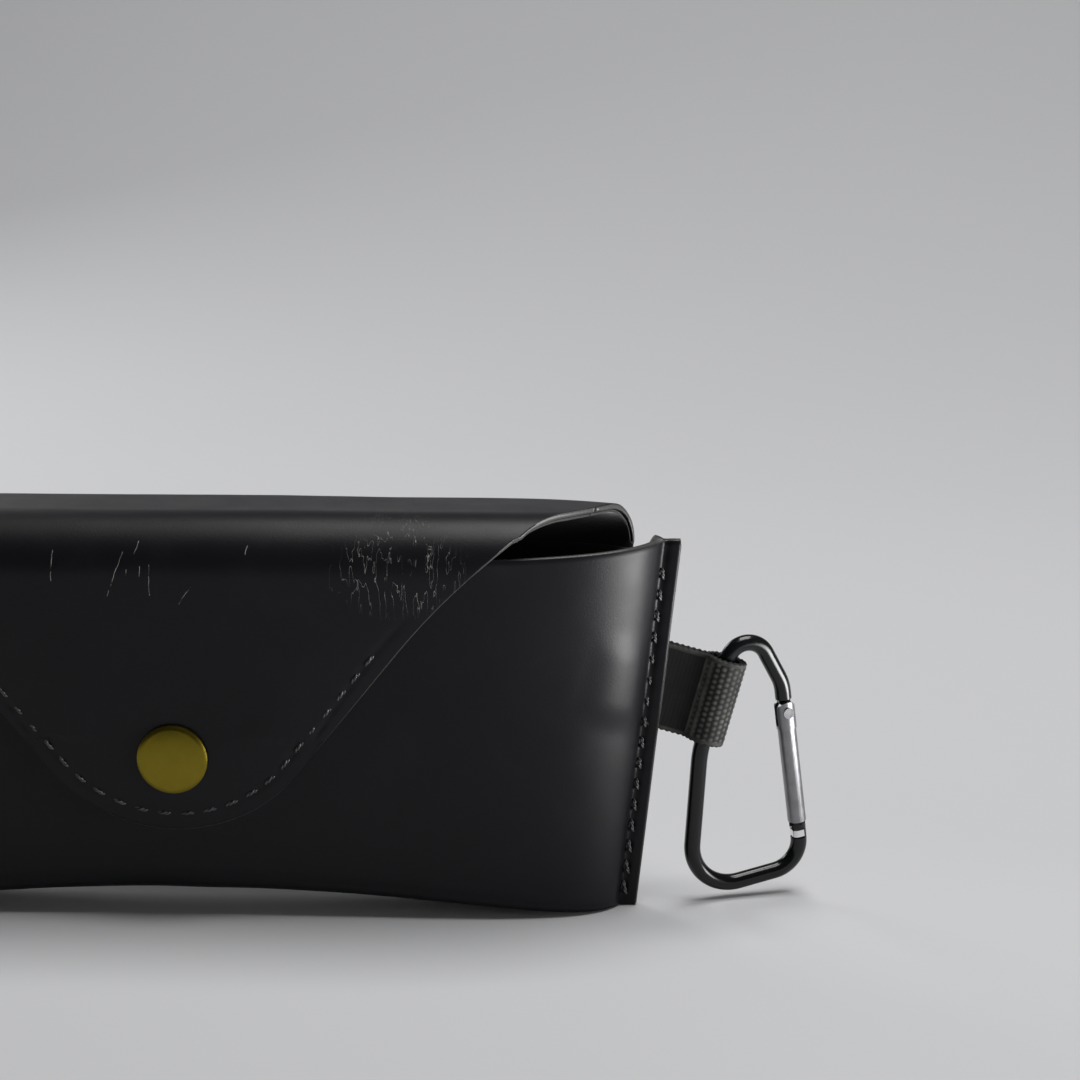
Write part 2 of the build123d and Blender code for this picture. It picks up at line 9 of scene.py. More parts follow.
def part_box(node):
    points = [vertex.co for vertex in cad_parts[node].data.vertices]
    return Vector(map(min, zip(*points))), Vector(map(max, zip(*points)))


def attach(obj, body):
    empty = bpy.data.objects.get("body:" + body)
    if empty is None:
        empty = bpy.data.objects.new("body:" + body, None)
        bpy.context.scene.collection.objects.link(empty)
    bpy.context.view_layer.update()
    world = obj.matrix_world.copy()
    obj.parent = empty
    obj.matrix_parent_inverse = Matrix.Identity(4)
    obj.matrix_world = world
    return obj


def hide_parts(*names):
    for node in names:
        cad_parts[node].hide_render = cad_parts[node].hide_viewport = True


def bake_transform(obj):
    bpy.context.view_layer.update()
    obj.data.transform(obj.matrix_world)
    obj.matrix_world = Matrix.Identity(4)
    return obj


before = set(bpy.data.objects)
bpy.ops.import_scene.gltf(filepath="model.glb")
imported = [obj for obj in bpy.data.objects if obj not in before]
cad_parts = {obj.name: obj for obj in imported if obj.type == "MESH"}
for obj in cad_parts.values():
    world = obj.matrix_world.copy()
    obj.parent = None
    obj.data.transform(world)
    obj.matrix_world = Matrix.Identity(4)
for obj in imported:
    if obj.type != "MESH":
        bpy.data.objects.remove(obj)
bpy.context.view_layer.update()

# A soft eyeglasses case, dressed round its CAD frame: leather and lining sheets, sewn stitches,
# woven webbing and finished metal. Lengths are millimetres here until a mesh is made.

MM = 0.001
SHELL_LOW, SHELL_HIGH = (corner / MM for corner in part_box("pouch_shell"))
ANCHOR_LOW, ANCHOR_HIGH = (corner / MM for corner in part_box("tab_anchor"))

# Where the pouch stands: its middle and the plane of its side seams
POUCH_X = (SHELL_LOW.x + SHELL_HIGH.x) / 2
SEAM_Y = (ANCHOR_LOW.y + ANCHOR_HIGH.y) / 2

# The pouch's driving dimensions, as in the CAD model. A station is a place across the pouch, from -1
# at the left seam's stitches to 1 at the right one's.
STITCH_HALF = 78.7  # from the middle to the stitches, at the floor
SIDE_LEAN = math.radians(6.3)
LEATHER = 1.2
LINING = 0.5
FLANGE = 0.053  # where the CAD seam ends, beyond the stitches, as a share of the half width
TRIMMED = 0.037  # where the leather is trimmed, narrower than the CAD seam
FRONT_DEPTH = 11.0
BACK_DEPTH = 11.0
BACK_DEPTH_TOP = 14.5
PANEL_LEAN = math.radians(3)
PLAN_POWER = 8  # how late the panels turn into the seams
PLAN_ROUND = 0.65  # how softly they do
INNER_END = 0.985  # station where the inside ends
FLAP_END = 0.965  # station where the flap ends at its fold lines
ARCH_HEIGHT = 4.5
ARCH_END = 0.95
ARCH_POWER = 1.25
CREASE = 5.5
CREASE_END = 1.6
RIM = 65.5
RIM_RISE = 2.8
HINGE_Z = 65.8
SPLIT = 0.3
CUT_Z = HINGE_Z - SPLIT  # where the back panel ends and the flap starts
SEAM_TOP = 68.5
SLIT = 0.05  # room between leather and lining

# Flap
FLAP_GAP = 1.95
APEX = 74.5
BACK_ROUND = 8.5
FRONT_ROUND = 10.0
FLAP_LOW = 15.0
FOLD = math.radians(45)
TIP_CENTRE = 46.1
TIP_RADIUS = 28.3
TIP_TURN = math.radians(51.5)
EDGE_END = (39.2, 50.0)
FOLD_HALF = 61.0
BRIDGE_MID = (76.0, 1.5)
BRIDGE_END = (85.5, 16.0)

# Stitching
THREAD = 0.32
STITCH = 2.6
SEAM_PITCH = 3.9
SEAM_FIRST = 3.5
SEAM_OUT = 0.7
EDGE_PITCH = 4.1
EDGE_INSET = 2.9

# Webbing tab
TAB_Z = 41.8
DROOP = math.radians(15.5)
WEBBING = 15.5
WEBBING_LOW = -8.4
WEBBING_THICK = 1.15
LOOP_AT = 9.0
LOOP_OUT = 3.75
ANCHOR_INSIDE = 13.0

OUTWARDS = Vector((math.cos(DROOP), 0, -math.sin(DROOP)))
UPWARDS = Vector((math.sin(DROOP), 0, math.cos(DROOP)))
SEAM_EDGE_X = STITCH_HALF + TAB_Z * math.tan(SIDE_LEAN) + STITCH_HALF * FLANGE
TAB_ROOT = Vector((POUCH_X + SEAM_EDGE_X, SEAM_Y, TAB_Z))


# ---- Shape of the pouch and flap, station by station


def fullness(s):
    return (1 - min(abs(s), 1) ** PLAN_POWER) ** PLAN_ROUND


def front(s, z):
    return LEATHER + (FRONT_DEPTH + z * math.tan(PANEL_LEAN) - LEATHER) * fullness(s)


def back(s, z):
    depth = BACK_DEPTH + (BACK_DEPTH_TOP - BACK_DEPTH) * z / HINGE_Z
    return LEATHER + (depth - LEATHER) * fullness(s)


def ease(t):
    """0 to 1 with soft ends."""
    t = min(max(t, 0.0), 1.0)
    return t * t * (3 - 2 * t)


def wall(s, inset):
    """Corners and radii of the pouch's wall from the front rim round the bottom to the back rim."""
    low = ARCH_HEIGHT * max(0.0, 1 - (s / ARCH_END) ** 2) ** ARCH_POWER + inset
    high = RIM + RIM_RISE * s * s
    beyond_flap = ease((abs(s) - FLAP_END) / (INNER_END - FLAP_END))
    rear_high = CUT_Z + (SEAM_TOP - CUT_Z) * beyond_flap
    inner = s / INNER_END if inset else s
    front_low, front_high = (max(front(inner, z) - inset, SLIT) for z in (low, high))
    back_low, back_high = (max(back(inner, z) - inset, SLIT) for z in (low, HINGE_Z))
    crease = CREASE_END + (CREASE - CREASE_END) * (1 - min(abs(s), 1) ** 2)
    radius = min(max(crease - inset, 0.5), 0.5 * front_low, 0.5 * back_low)
    points = [(-front_high, high), (-front_low, low), (back_low, low), (back_high, rear_high)]
    return points, [0, radius, radius, 0]


def flap_line(s, inset):
    """Corners and radii of the flap from the back rim over the mouth and down the front."""
    rear = back(s, HINGE_Z) - inset
    cover = FLAP_GAP + LINING + LEATHER - inset
    top = APEX - inset
    ahead_top = front(s, top) + cover
    ahead_low = front(s, FLAP_LOW) + cover
    width = rear + ahead_top
    radii = [0, min(BACK_ROUND - inset, 0.38 * width), min(FRONT_ROUND - inset, 0.5 * width), 0]
    points = [(rear, CUT_Z), (rear, top), (-ahead_top, top), (-ahead_low, FLAP_LOW)]
    return points, radii


def rounded(points, radii, run_steps, turn_steps):
    """An open line with rounded corners as equal steps along each run and round each corner."""
    corners = [Vector(p) for p in points]
    line = []
    here = corners[0]
    for i in range(1, len(corners)):
        corner = corners[i]
        if i == len(corners) - 1:
            run_end = corner
        else:
            into = (corner - corners[i - 1]).normalized()
            out = (corners[i + 1] - corner).normalized()
            turn = math.acos(max(-1.0, min(1.0, into.dot(out))))
            side = 1 if into.cross(out) > 0 else -1
            cut = radii[i] * math.tan(turn / 2)
            run_end = corner - into * cut
        for k in range(run_steps[i - 1]):
            line.append(here.lerp(run_end, k / run_steps[i - 1]))
        if i < len(corners) - 1:
            centre = run_end + Vector((-into.y, into.x)) * side * radii[i]
            arm = run_end - centre
            for k in range(turn_steps[i - 1]):
                angle = side * turn * k / turn_steps[i - 1]
                cos, sin = math.cos(angle), math.sin(angle)
                line.append(centre + Vector((arm.x * cos - arm.y * sin, arm.x * sin + arm.y * cos)))
            here = corner + out * cut
    line.append(corners[-1])
    return line


def place(s, point):
    """A station's own (y, up) as a place in the frame."""
    lean = SIDE_LEAN * s
    along, up = point
    return (POUCH_X + STITCH_HALF * s + up * math.sin(lean), SEAM_Y + along, up * math.cos(lean))


# ---- Meshes


SMOOTH_TO = math.radians(60)  # edges that turn more than this stay sharp
MERGE = 1e-7  # places nearer than this, in metres, become one
CORNER_SIDES = 12  # most sides of a gap that close_corners fills
SEED_STEPS = (17.3, 5.1, 9.7)  # how far apart in space two seeds' noise lies

# Rings that round a sheet's rim: how far across it and how far out, in shares of its thickness
RIM_RINGS = ((0.2, 0.17), (0.5, 0.24), (0.8, 0.17))


def unit(directions):
    """Directions made one millimetre long. One with no length stays as it is."""
    return directions / np.maximum(np.linalg.norm(directions, axis=-1, keepdims=True), 1e-9)


def new_object(name, vertices, faces, material, marks=None):
    """A mesh object from places in millimetres. marks names a value for each place, for its material
    to read."""
    mesh = bpy.data.meshes.new(name)
    mesh.from_pydata([tuple(v) for v in np.asarray(vertices) * MM], [], faces)
    for mark, values in (marks or {}).items():
        mesh.attributes.new(mark, "FLOAT", "POINT").data.foreach_set("value", np.asarray(values, np.float32))
    work = bmesh.new()
    work.from_mesh(mesh)
    bmesh.ops.remove_doubles(work, verts=work.verts, dist=MERGE)
    bmesh.ops.recalc_face_normals(work, faces=work.faces)
    work.to_mesh(mesh)
    work.free()
    mesh.polygons.foreach_set("use_smooth", [True] * len(mesh.polygons))
    mesh.set_sharp_from_angle(angle=SMOOTH_TO)
    obj = bpy.data.objects.new(name, mesh)
    bpy.context.scene.collection.objects.link(obj)
    mesh.materials.append(material)
    return obj


def slab(name, outer, inner, material, flat_rims=(), weave_height=None):
    """A closed sheet between two grids of places (rows, columns, 3). Its rims are rounded, except
    those named in flat_rims ("first_row" or "last_row"), where another piece carries on."""
    rows, cols = outer.shape[:2]
    count = rows * cols
    index = np.arange(count).reshape(rows, cols)
    vertices = list(outer.reshape(-1, 3)) + list(inner.reshape(-1, 3))
    edge = [0.0] * (2 * count)
    faces = []
    for grid in (index, index + count):
        a, b, c, d = grid[:-1, :-1], grid[1:, :-1], grid[1:, 1:], grid[:-1, 1:]
        faces += np.stack([a, b, c, d], -1).reshape(-1, 4).tolist()
    rims = {
        "first_row": (index[0], outer[0] - outer[1]),
        "last_row": (index[-1], outer[-1] - outer[-2]),
        "first_column": (index[:, 0], outer[:, 0] - outer[:, 1]),
        "last_column": (index[:, -1], outer[:, -1] - outer[:, -2]),
    }
    for rim, (line, ahead) in rims.items():
        rings = [line]
        if rim not in flat_rims:
            ahead = unit(ahead)
            near = outer.reshape(-1, 3)[line]
            far = inner.reshape(-1, 3)[line]
            thick = np.linalg.norm(far - near, axis=1, keepdims=True)
            for share, bulge in RIM_RINGS:
                straight = near + (far - near) * share
                ring = straight + ahead * thick * bulge
                ring[[0, -1]] = straight[[0, -1]]
                rings.append(np.arange(len(vertices), len(vertices) + len(line)))
                vertices += list(ring)
                edge += [1.0] * len(line)
        rings.append(line + count)
        for high, low in zip(rings, rings[1:]):
            faces += [[high[k], high[k + 1], low[k + 1], low[k]] for k in range(len(line) - 1)]
    # edge marks the rim places, which the leather paints lighter, partly as a painted highlight
    marks = {"edge": edge}
    if weave_height is not None:
        marks["weave"] = list(weave_height.ravel()) + [0.0] * (len(vertices) - count)
    return close_corners(name, vertices, faces, material, marks)


def close_corners(name, vertices, faces, material, marks):
    """Makes the object and fills the small gaps that rims leave where they meet at a corner."""
    obj = new_object(name, vertices, faces, material, marks=marks)
    work = bmesh.new()
    work.from_mesh(obj.data)
    open_edges = [edge for edge in work.edges if edge.is_boundary]
    if open_edges:
        bmesh.ops.holes_fill(work, edges=open_edges, sides=CORNER_SIDES)
    bmesh.ops.recalc_face_normals(work, faces=work.faces)
    work.to_mesh(obj.data)
    work.free()
    return obj


def lifted(outer, inner, height):
    """The outer grid moved away from the inner one by a height at each place."""
    return outer + unit(outer - inner) * height[..., None]


def noise_grid(grid, scale, seed):
    """Smooth noise, about -1 to 1, at each place of a grid."""
    shift = Vector([seed * step for step in SEED_STEPS])
    flat = [noise.noise(Vector(p) / scale + shift) for p in grid.reshape(-1, 3)]
    return np.array(flat).reshape(grid.shape[:2])


def waves(grid, layers, relief=0.0):
    """A relief with broad unevenness added: layers of a height, a length and a seed."""
    for height, length, seed in layers:
        relief = relief + height * noise_grid(grid, length, seed)
    return relief


def ridge(off, width):
    """1 on a line, and falling away smoothly on both sides of it."""
    return np.exp(-((off / width) ** 2))


# ---- Materials


# Spans that ramps run over: what a noise mostly covers, and the two ways from 0 to 1
NOISE = (0.2, 0.8)
UP = (0.0, 1.0)
DOWN = (1.0, 0.0)


class Nodes:
    """Builds a material's node tree."""

    def __init__(self, name):
        self.material = bpy.data.materials.new(name)
        self.material.use_nodes = True
        self.tree = self.material.node_tree
        self.shader = self.tree.nodes["Principled BSDF"]

    def add(self, kind, **settings):
        node = self.tree.nodes.new("ShaderNode" + kind)
        for key, value in settings.items():
            setattr(node, key, value)
        return node

    def link(self, source, target):
        self.tree.links.new(source, target)

    def feed(self, socket, value):
        """Links an output to a socket, or sets a plain value on it."""
        if isinstance(value, bpy.types.NodeSocket):
            self.link(value, socket)
        else:
            socket.default_value = value

    def math(self, operation, *values):
        node = self.add("Math", operation=operation)
        for socket, value in zip(node.inputs, values):
            self.feed(socket, value)
        return node.outputs[0]

    def sum_of_squares(self, a, b):
        return self.math("ADD", self.math("POWER", a, 2.0), self.math("POWER", b, 2.0))

    def attribute(self, name):
        """What the mesh's marks say at a place."""
        return self.add("Attribute", attribute_name=name, attribute_type="GEOMETRY").outputs["Fac"]

    def place(self, scale=(1, 1, 1)):
        """Object coordinates in millimetres times a scale."""
        mapping = self.add("Mapping")
        mapping.inputs["Scale"].default_value = [axis / MM for axis in scale]
        self.link(self.add("TexCoord").outputs["Object"], mapping.inputs["Vector"])
        return mapping.outputs["Vector"]

    def noise(self, vector, scale, detail, roughness=0.55):
        node = self.add("TexNoise")
        self.link(vector, node.inputs["Vector"])
        for key, amount in (("Scale", scale), ("Detail", detail), ("Roughness", roughness)):
            node.inputs[key].default_value = amount
        return node.outputs["Fac"]

    def ramp(self, value, span, out=UP):
        """A value's place in one span, as a value in another, held at its ends."""
        node = self.add("MapRange")
        self.feed(node.inputs["Value"], value)
        for key, amount in zip(("From Min", "From Max", "To Min", "To Max"), (*span, *out)):
            node.inputs[key].default_value = amount
        return node.outputs["Result"]

    def mix(self, share, low, high):
        """A colour from low, where share is 0, to high, where it is 1."""
        node = self.add("Mix", data_type="RGBA")
        self.feed(node.inputs[0], share)
        for socket, color in ((node.inputs[6], low), (node.inputs[7], high)):
            self.feed(socket, (*color, 1) if isinstance(color, tuple) else color)
        return node.outputs[2]

    def bump(self, height, distance, strength, normal=None):
        """A relief of so many millimetres, on top of an earlier one."""
        node = self.add("Bump")
        node.inputs["Strength"].default_value = strength
        node.inputs["Distance"].default_value = distance * MM
        self.link(height, node.inputs["Height"])
        if normal is not None:
            self.link(normal, node.inputs["Normal"])
        return node.outputs["Normal"]

    def finish(self, color, roughness, normal=None, **plain):
        """The material, with plain values set on the shader's own sockets."""
        self.link(color, self.shader.inputs["Base Color"])
        self.feed(self.shader.inputs["Roughness"], roughness)
        if normal is not None:
            self.link(normal, self.shader.inputs["Normal"])
        for name, value in plain.items():
            self.shader.inputs[name.replace("_", " ")].default_value = value
        return self.material


# Fine white scratches on the flap, from and to, across from the pouch's middle and up from the floor
SCRATCHES = [
    ((-20.0, 68.6), (-20.2, 63.4)),
    ((-7.6, 68.4), (-9.0, 64.6)),
    ((-9.0, 64.6), (-10.5, 60.7)),
    ((-5.0, 70.2), (-5.6, 68.1)),
    ((-3.0, 66.3), (-3.1, 60.9)),
    ((4.1, 62.4), (2.0, 59.4)),
    ((14.1, 69.6), (13.8, 68.2)),
    ((-4.6, 66.0), (-4.7, 64.2)),
    ((-7.0, 65.4), (-7.1, 64.3)),
]
LINES_PATCH = (40.0, 66.0)  # middle of the patch of fine light lines beside the front fold
LINES_PATCH_SIZE = (13.0, 9.5)


LINES_STRETCH = (0.75, 0.3, 0.13)  # longest along z
FRONT_ONLY = (-6.0, -2.0)  # y over which the scratches and lines end, off the back

# Colours are linear
LEATHER_BLACK = (0.0036, 0.0038, 0.0048)
LEATHER_BLUISH = (0.0062, 0.0062, 0.0084)
LEATHER_DULL = (0.011, 0.011, 0.013)
# The rims' colour: a paler cut edge, painted lighter still as a highlight along the rim
CUT_EDGE_AND_HIGHLIGHT = (0.065, 0.064, 0.062)
SCRATCH_AND_LINE_WHITE = (0.30, 0.29, 0.27)


def distance_to(nodes, x, z, start, end):
    """Distance in millimetres, seen from the front, from a short scratch between two places."""
    run, rise = end[0] - start[0], end[1] - start[1]
    square = run * run + rise * rise
    across = nodes.math("SUBTRACT", x, POUCH_X + start[0])
    up = nodes.math("SUBTRACT", z, start[1])
    along = nodes.math("MULTIPLY_ADD", across, run / square, nodes.math("MULTIPLY", up, rise / square))
    share = nodes.math("MINIMUM", nodes.math("MAXIMUM", along, 0.0), 1.0)
    off_x = nodes.math("SUBTRACT", across, nodes.math("MULTIPLY", share, run))
    off_z = nodes.math("SUBTRACT", up, nodes.math("MULTIPLY", share, rise))
    return nodes.math("SQRT", nodes.sum_of_squares(off_x, off_z))


def scratches(nodes, where, x, z):
    """The scratches, 0 to 1, broken up along their length."""
    distances = [distance_to(nodes, x, z, start, end) for start, end in SCRATCHES]
    nearest = distances[0]
    for distance in distances[1:]:
        nearest = nodes.math("MINIMUM", nearest, distance)
    line = nodes.ramp(nearest, (0.015, 0.085), DOWN)
    broken = nodes.ramp(nodes.noise(where, scale=0.9, detail=2), (0.34, 0.6))
    return nodes.math("MULTIPLY", line, broken)


def fine_lines(nodes, where, x, z):
    """The patch of fine light lines, 0 to 1: thin lines where a stretched noise crosses its middle."""
    ridges = nodes.noise(nodes.place(LINES_STRETCH), scale=1.0, detail=2, roughness=0.6)
    off_ridge = nodes.math("ABSOLUTE", nodes.math("SUBTRACT", ridges, 0.5))
    vein = nodes.ramp(off_ridge, (0.0015, 0.0075), DOWN)
    broken = nodes.ramp(nodes.noise(where, scale=0.22, detail=2), (0.40, 0.52))
    vein = nodes.math("MULTIPLY", vein, broken)
    off_x = nodes.math("DIVIDE", nodes.math("SUBTRACT", x, POUCH_X + LINES_PATCH[0]), LINES_PATCH_SIZE[0])
    off_z = nodes.math("DIVIDE", nodes.math("SUBTRACT", z, LINES_PATCH[1]), LINES_PATCH_SIZE[1])
    patch = nodes.ramp(nodes.sum_of_squares(off_x, off_z), (0.3, 1.0), DOWN)
    return nodes.math("MULTIPLY", vein, patch)


def scratches_and_lines(nodes, where):
    """Scratches and fine light lines on the flap's front, 0 to 1."""
    split = nodes.add("SeparateXYZ")
    nodes.link(where, split.inputs[0])
    sway = nodes.math("SUBTRACT", nodes.noise(where, scale=0.5, detail=1), 0.5)
    x = nodes.math("ADD", split.outputs["X"], nodes.math("MULTIPLY", sway, 0.5))
    z = split.outputs["Z"]
    faint_lines = nodes.math("MULTIPLY", fine_lines(nodes, where, x, z), 0.8)
    flap_marks = nodes.math("MAXIMUM", scratches(nodes, where, x, z), faint_lines)
    return nodes.math("MULTIPLY", flap_marks, nodes.ramp(split.outputs["Y"], FRONT_ONLY, DOWN))


def leather(name, marked=False):
    """Smooth black coated leather: faint grain, broad unevenness, rims painted lighter as a paler cut edge
    and a painted highlight, and on the flap its scratches and a patch of fine light lines.
    """
    nodes = Nodes(name)
    where = nodes.place()
    broad = nodes.noise(where, scale=0.035, detail=2)
    cloudy = nodes.noise(where, scale=0.11, detail=4)
    grain = nodes.noise(where, scale=2.6, detail=3)
    pores = nodes.add("TexVoronoi", feature="DISTANCE_TO_EDGE")
    nodes.link(where, pores.inputs["Vector"])
    pores.inputs["Scale"].default_value = 1.5
    cells = nodes.ramp(pores.outputs["Distance"], (0.0, 0.12))
    color = nodes.mix(broad, LEATHER_BLACK, LEATHER_BLUISH)
    color = nodes.mix(nodes.ramp(cloudy, (0.55, 0.8), (0.0, 0.3)), color, LEATHER_DULL)
    # Rims painted lighter and glossier: the lighter colour is partly the cut edge's own paler tone and
    # partly a painted highlight along the rim.
    edge = nodes.attribute("edge")
    color = nodes.mix(nodes.math("MULTIPLY", edge, 0.8), color, CUT_EDGE_AND_HIGHLIGHT)
    roughness = nodes.ramp(cloudy, NOISE, (0.34, 0.44))
    roughness = nodes.math("SUBTRACT", roughness, nodes.math("MULTIPLY", edge, 0.14))
    normal = nodes.bump(cells, distance=0.02, strength=0.22)
    normal = nodes.bump(grain, distance=0.03, strength=0.35, normal=normal)
    if marked:
        flap_marks = scratches_and_lines(nodes, where)
        color = nodes.mix(flap_marks, color, SCRATCH_AND_LINE_WHITE)
        normal = nodes.bump(nodes.math("SUBTRACT", 1.0, flap_marks), distance=0.06, strength=0.6, normal=normal)
    return nodes.finish(color, roughness, normal, Specular_IOR_Level=0.2)


def lining_cloth():
    """Brushed black microfibre."""
    nodes = Nodes("lining")
    fluff = nodes.noise(nodes.place(), scale=1.6, detail=5)
    color = nodes.mix(fluff, (0.010, 0.010, 0.011), (0.032, 0.032, 0.034))
    roughness = nodes.ramp(fluff, NOISE, (0.82, 0.97))
    normal = nodes.bump(fluff, distance=0.12, strength=0.7)
    return nodes.finish(color, roughness, normal, Sheen_Weight=0.35, Sheen_Roughness=0.5)


def waxed_thread():
    """Waxed black thread, a little dusty in blotches."""
    nodes = Nodes("thread")
    fibres = nodes.noise(nodes.place((5, 5, 1.2)), scale=1.0, detail=3)
    blotches = nodes.noise(nodes.place(), scale=0.7, detail=2)
    color = nodes.mix(blotches, (0.014, 0.014, 0.015), (0.075, 0.075, 0.08))
    roughness = nodes.ramp(fibres, NOISE, (0.3, 0.5))
    return nodes.finish(color, roughness, nodes.bump(fibres, distance=0.05, strength=0.6))


def webbing_weave():
    """Black woven webbing whose crests are painted lighter: a painted highlight on the weave, broken up by a
    noise. The weave itself is in the mesh.
    """
    nodes = Nodes("webbing")
    fibres = nodes.noise(nodes.place((3, 3, 7)), scale=1.0, detail=4)
    blotches = nodes.ramp(nodes.noise(nodes.place(), scale=0.35, detail=2), (0.3, 0.7), (0.35, 1.0))
    # Painted highlight: the weave's raised places are painted lighter, more where a noise says.
    crest_highlight = nodes.math("MULTIPLY", nodes.attribute("weave"), blotches)
    color = nodes.mix(crest_highlight, (0.0042, 0.0046, 0.0046), (0.12, 0.12, 0.11))
    roughness = nodes.ramp(fibres, NOISE, (0.5, 0.75))
    normal = nodes.bump(fibres, distance=0.06, strength=0.6)
    return nodes.finish(color, roughness, normal, Specular_IOR_Level=0.2)


def antique_brass():
    """Satin olive-gold cap with faint tarnish."""
    nodes = Nodes("brass")
    tarnish = nodes.noise(nodes.place(), scale=0.25, detail=4)
    color = nodes.mix(tarnish, (0.165, 0.125, 0.012), (0.25, 0.195, 0.024))
    satin = nodes.noise(nodes.place((1.2, 1.2, 1.2)), scale=6.0, detail=3)
    roughness = nodes.ramp(tarnish, (0.25, 0.75), (0.24, 0.36))
    return nodes.finish(color, roughness, nodes.bump(satin, distance=0.008, strength=0.4), Metallic=1.0)


def plated_steel(name, color_low, color_high, dullness=(0.2, 0.34)):
    """Plated or tumbled metal with dull patches and fine scuffs."""
    nodes = Nodes(name)
    patches = nodes.noise(nodes.place(), scale=0.45, detail=4)
    scuffs = nodes.noise(nodes.place((5, 5, 0.5)), scale=1.0, detail=4)
    color = nodes.mix(nodes.ramp(patches, (0.3, 0.75)), color_low, color_high)
    roughness = nodes.ramp(nodes.math("ADD", patches, scuffs), (0.6, 1.4), dullness)
    return nodes.finish(color, roughness, nodes.bump(scuffs, distance=0.02, strength=0.35), Metallic=1.0)


def black_anodising():
    """Satin black anodised rod: dark, glossy, with faint draw lines and dust."""
    nodes = Nodes("anodised_black")
    drawn = nodes.noise(nodes.place((3, 3, 0.25)), scale=1.0, detail=3)
    blotches = nodes.ramp(nodes.noise(nodes.place(), scale=1.1, detail=5), (0.62, 0.8), (0.0, 0.25))
    color = nodes.mix(blotches, (0.0035, 0.004, 0.0045), (0.03, 0.03, 0.03))
    roughness = nodes.ramp(drawn, NOISE, (0.13, 0.22))
    normal = nodes.bump(drawn, distance=0.01, strength=0.3)
    return nodes.finish(color, roughness, normal, Specular_IOR_Level=0.38)


LEATHER_PLAIN = leather("leather_plain")
LEATHER_FLAP = leather("leather_flap", marked=True)
LINING_CLOTH = lining_cloth()
THREAD_BLACK = waxed_thread()
WEBBING_BLACK = webbing_weave()


# ---- Pouch

WALL_RUNS = (64, 14, 64)
WALL_TURNS = (8, 8)
LINING_END = 0.955  # station where the lining ends

# Relief in the leather, in millimetres: how deep it is, and how far beside its line it reaches
SEAM_FURROW, SEAM_FURROW_REACH = 0.34, 0.75
SEAM_PUCKER, SEAM_PUCKER_REACH = 0.10, 1.5
POUCH_WAVES = ((0.22, 34, 1), (0.07, 11, 2))
LINING_FLUFF = (0.05, 4, 3)
FLOOR_ROOM = 0.4  # height below which there is no relief
RELIEF_FADE = 3  # over which it fades in from there, and out to the back rim
TAB_BUMP = 0.6
TAB_BUMP_OUT = 9  # how far out from the seam's edge the tab's bump ends
TAB_BUMP_SOFT = (8, 6)  # how softly it ends, along the tab and across it


def both_sides(half):
    """Both halves' stations from the right half's, which start at the middle."""
    return np.concatenate([-half[:0:-1], half])


def pouch_stations():
    """Stations from seam to seam, close together where the panels turn into the seams."""
    return both_sides(np.concatenate([np.linspace(0, 0.8, 66), np.linspace(0.81, 1 + TRIMMED, 58)]))


def wall_grid(inset, stations):
    """The pouch's wall, a row of places for each station."""
    grid = []
    for s in stations:
        points, radii = wall(s, inset)
        grid.append([place(s, p) for p in rounded(points, radii, WALL_RUNS, WALL_TURNS)])
    return np.array(grid)


def seam_relief(grid):
    """Where the thread pulls the leather in along the side seams, and it puckers between holes."""
    from_middle = np.abs(grid[..., 0] - POUCH_X)
    off = (from_middle - STITCH_HALF - SEAM_OUT - grid[..., 2] * math.tan(SIDE_LEAN)) * math.cos(SIDE_LEAN)
    phase = np.cos((grid[..., 2] - SEAM_FIRST) * 2 * math.pi / SEAM_PITCH)
    furrow = -SEAM_FURROW * ridge(off, SEAM_FURROW_REACH)
    pucker = -SEAM_PUCKER * phase * ridge(off, SEAM_PUCKER_REACH)
    return furrow + pucker


def tab_relief(grid):
    """The sewn-in end of the webbing, which shows through both panels beside the seam."""
    x, z = grid[..., 0] - TAB_ROOT.x, grid[..., 2] - TAB_ROOT.z
    along = x * OUTWARDS.x + z * OUTWARDS.z
    up = x * UPWARDS.x + z * UPWARDS.z

    def inside(value, low, high, soft):
        rise = np.clip((value - low) / soft + 0.5, 0, 1)
        fall = np.clip((high - value) / soft + 0.5, 0, 1)
        both = np.minimum(rise, fall)
        return both * both * (3 - 2 * both)

    in_length = inside(along, -ANCHOR_INSIDE + 1, TAB_BUMP_OUT, TAB_BUMP_SOFT[0])
    in_width = inside(up, WEBBING_LOW + 1, WEBBING_LOW + WEBBING - 1, TAB_BUMP_SOFT[1])
    return TAB_BUMP * in_length * in_width


def make_pouch():
    stations = pouch_stations()
    outer = wall_grid(0, stations)
    inner = wall_grid(LEATHER, stations)
    relief = seam_relief(outer) + tab_relief(outer) * (outer[..., 0] > POUCH_X)
    clear_of_floor = np.clip((outer[..., 2] - FLOOR_ROOM) / RELIEF_FADE, 0, 1)
    clear_of_rim = np.clip((CUT_Z - outer[..., 2]) / RELIEF_FADE, 0, 1)
    on_back = outer[..., 1] > SEAM_Y + 2
    fading = clear_of_floor * np.where(on_back, clear_of_rim, 1)
    outer = lifted(outer, inner, waves(outer, POUCH_WAVES, relief) * fading)
    pouch = slab("pouch_leather", outer, inner, LEATHER_PLAIN, flat_rims=("last_column",))
    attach(pouch, "pouch")
    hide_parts("pouch_shell")
    return pouch


def make_pouch_lining():
    stations = both_sides(np.linspace(0, LINING_END, 60))
    bonded, open_face = [wall_grid(depth, stations) for depth in (LEATHER + SLIT, LEATHER + LINING)]
    fluffed = lifted(open_face, bonded, waves(open_face, [LINING_FLUFF]))
    lining = slab("pouch_lining_cloth", fluffed, bonded, LINING_CLOTH)
    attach(lining, "pouch")
    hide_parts("pouch_lining")
    return lining


# ---- Flap

